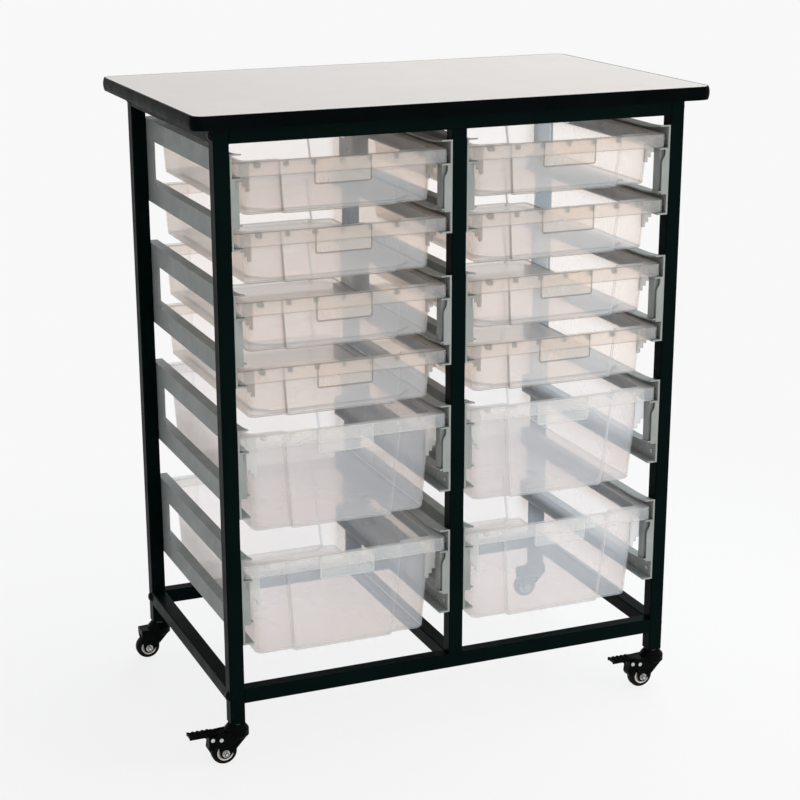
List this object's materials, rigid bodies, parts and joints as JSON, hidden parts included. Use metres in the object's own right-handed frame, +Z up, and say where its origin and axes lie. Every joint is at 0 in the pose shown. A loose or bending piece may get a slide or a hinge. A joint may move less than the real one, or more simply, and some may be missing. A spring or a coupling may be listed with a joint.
{
  "type": "classroom tray storage unit",
  "caption": "Mobile classroom tray unit: a black square-tube frame with a laminated top, moulded double runners, lift-out translucent trays and braked castors.",
  "frame": {"origin": "on the floor, midway between the outer legs and midway between the frame's front and back", "axes": "+X to the right seen from the front, +Y to the back, +Z up; trays pull out towards -Y"},
  "size_m": [0.8066, 0.4794, 0.9408],
  "materials": {
    "frame_paint": "gloss",
    "board_core": "matte",
    "laminate": "satin",
    "edge_band": "satin",
    "runner_plastic": "satin",
    "tray_plastic": "translucent, satin",
    "zinc_screw": "zinc plated",
    "zinc": "zinc plated",
    "black_bolt": "gloss",
    "black_plastic": "matte",
    "castor_plastic": "satin",
    "tyre_rubber": "matte",
    "hub_plastic": "satin"
  },
  "bodies": {
    "carcass": {"leg_front_left": "frame_paint", "leg_front_right": "frame_paint", "leg_rear_left": "frame_paint", "leg_rear_right": "frame_paint", "centre_post_front": "frame_paint", "centre_post_rear": "frame_paint", "rail_front_bottom": "frame_paint", "rail_rear_bottom": "frame_paint", "rail_left_bottom": "frame_paint", "rail_right_bottom": "frame_paint", "rail_centre_bottom": "frame_paint", "rail_front_top": "frame_paint", "rail_rear_top": "frame_paint", "rail_left_top": "frame_paint", "rail_right_top": "frame_paint", "rail_centre_top": "frame_paint", "top_board": "board_core", "top_laminate": "laminate", "top_edge_band": "edge_band", "runners_left_bay_left": "runner_plastic", "runners_left_bay_right": "runner_plastic", "runners_right_bay_left": "runner_plastic", "runners_right_bay_right": "runner_plastic", "runner_screws": "zinc_screw", "top_screws": "zinc_screw", "frame_bolts": "black_bolt", "rail_plugs": "black_plastic", "leg_plugs": "black_plastic", "castor_stems": "zinc"},
    "tray_left_1": {"tray_left_1": "tray_plastic"},
    "tray_left_2": {"tray_left_2": "tray_plastic"},
    "tray_left_3": {"tray_left_3": "tray_plastic"},
    "tray_left_4": {"tray_left_4": "tray_plastic"},
    "tray_left_5": {"tray_left_5": "tray_plastic"},
    "tray_left_6": {"tray_left_6": "tray_plastic"},
    "tray_right_1": {"tray_right_1": "tray_plastic"},
    "tray_right_2": {"tray_right_2": "tray_plastic"},
    "tray_right_3": {"tray_right_3": "tray_plastic"},
    "tray_right_4": {"tray_right_4": "tray_plastic"},
    "tray_right_5": {"tray_right_5": "tray_plastic"},
    "tray_right_6": {"tray_right_6": "tray_plastic"},
    "swivel_front_left": {"castor_fork_front_left": "castor_plastic", "castor_pins_front_left": "zinc"},
    "wheel_front_left": {"castor_tyre_front_left": "tyre_rubber", "castor_hub_front_left": "hub_plastic"},
    "brake_pedal_left": {"brake_pedal_left": "castor_plastic"},
    "swivel_front_right": {"castor_fork_front_right": "castor_plastic", "castor_pins_front_right": "zinc"},
    "wheel_front_right": {"castor_tyre_front_right": "tyre_rubber", "castor_hub_front_right": "hub_plastic"},
    "brake_pedal_right": {"brake_pedal_right": "castor_plastic"},
    "swivel_rear_left": {"castor_fork_rear_left": "castor_plastic", "castor_pins_rear_left": "zinc"},
    "wheel_rear_left": {"castor_tyre_rear_left": "tyre_rubber", "castor_hub_rear_left": "hub_plastic"},
    "swivel_rear_right": {"castor_fork_rear_right": "castor_plastic", "castor_pins_rear_right": "zinc"},
    "wheel_rear_right": {"castor_tyre_rear_right": "tyre_rubber", "castor_hub_rear_right": "hub_plastic"}
  },
  "joints": [
    {"name": "tray_left_1_slide", "type": "slide", "parent": "carcass", "child": "tray_left_1", "axis": [0, -1, 0], "range_m": [0, 0.39]},
    {"name": "tray_left_2_slide", "type": "slide", "parent": "carcass", "child": "tray_left_2", "axis": [0, -1, 0], "range_m": [0, 0.39]},
    {"name": "tray_left_3_slide", "type": "slide", "parent": "carcass", "child": "tray_left_3", "axis": [0, -1, 0], "range_m": [0, 0.39]},
    {"name": "tray_left_4_slide", "type": "slide", "parent": "carcass", "child": "tray_left_4", "axis": [0, -1, 0], "range_m": [0, 0.39]},
    {"name": "tray_left_5_slide", "type": "slide", "parent": "carcass", "child": "tray_left_5", "axis": [0, -1, 0], "range_m": [0, 0.39]},
    {"name": "tray_left_6_slide", "type": "slide", "parent": "carcass", "child": "tray_left_6", "axis": [0, -1, 0], "range_m": [0, 0.39]},
    {"name": "tray_right_1_slide", "type": "slide", "parent": "carcass", "child": "tray_right_1", "axis": [0, -1, 0], "range_m": [0, 0.39]},
    {"name": "tray_right_2_slide", "type": "slide", "parent": "carcass", "child": "tray_right_2", "axis": [0, -1, 0], "range_m": [0, 0.39]},
    {"name": "tray_right_3_slide", "type": "slide", "parent": "carcass", "child": "tray_right_3", "axis": [0, -1, 0], "range_m": [0, 0.39]},
    {"name": "tray_right_4_slide", "type": "slide", "parent": "carcass", "child": "tray_right_4", "axis": [0, -1, 0], "range_m": [0, 0.39]},
    {"name": "tray_right_5_slide", "type": "slide", "parent": "carcass", "child": "tray_right_5", "axis": [0, -1, 0], "range_m": [0, 0.39]},
    {"name": "tray_right_6_slide", "type": "slide", "parent": "carcass", "child": "tray_right_6", "axis": [0, -1, 0], "range_m": [0, 0.39]},
    {"name": "swivel_front_left", "type": "hinge", "parent": "carcass", "child": "swivel_front_left", "pos_m": [-0.3444, -0.2049, 0.0602], "axis": [0, 0, 1], "continuous": true},
    {"name": "wheel_front_left", "type": "hinge", "parent": "swivel_front_left", "child": "wheel_front_left", "pos_m": [-0.3648, -0.2049, 0.0191], "axis": [0, 1, 0], "continuous": true},
    {"name": "brake_pedal_left", "type": "hinge", "parent": "swivel_front_left", "child": "brake_pedal_left", "pos_m": [-0.3842, -0.2049, 0.0441], "axis": [0, -1, 0], "range_deg": [0, 8]},
    {"name": "swivel_front_right", "type": "hinge", "parent": "carcass", "child": "swivel_front_right", "pos_m": [0.3444, -0.2049, 0.0602], "axis": [0, 0, 1], "continuous": true},
    {"name": "wheel_front_right", "type": "hinge", "parent": "swivel_front_right", "child": "wheel_front_right", "pos_m": [0.324, -0.2049, 0.0191], "axis": [0, 1, 0], "continuous": true},
    {"name": "brake_pedal_right", "type": "hinge", "parent": "swivel_front_right", "child": "brake_pedal_right", "pos_m": [0.3046, -0.2049, 0.0441], "axis": [0, -1, 0], "range_deg": [0, 8]},
    {"name": "swivel_rear_left", "type": "hinge", "parent": "carcass", "child": "swivel_rear_left", "pos_m": [-0.3444, 0.2049, 0.0602], "axis": [0, 0, 1], "continuous": true},
    {"name": "wheel_rear_left", "type": "hinge", "parent": "swivel_rear_left", "child": "wheel_rear_left", "pos_m": [-0.3648, 0.2049, 0.0191], "axis": [0, 1, 0], "continuous": true},
    {"name": "swivel_rear_right", "type": "hinge", "parent": "carcass", "child": "swivel_rear_right", "pos_m": [0.3444, 0.2049, 0.0602], "axis": [0, 0, 1], "continuous": true},
    {"name": "wheel_rear_right", "type": "hinge", "parent": "swivel_rear_right", "child": "wheel_rear_right", "pos_m": [0.324, 0.2049, 0.0191], "axis": [0, 1, 0], "continuous": true}
  ]
}
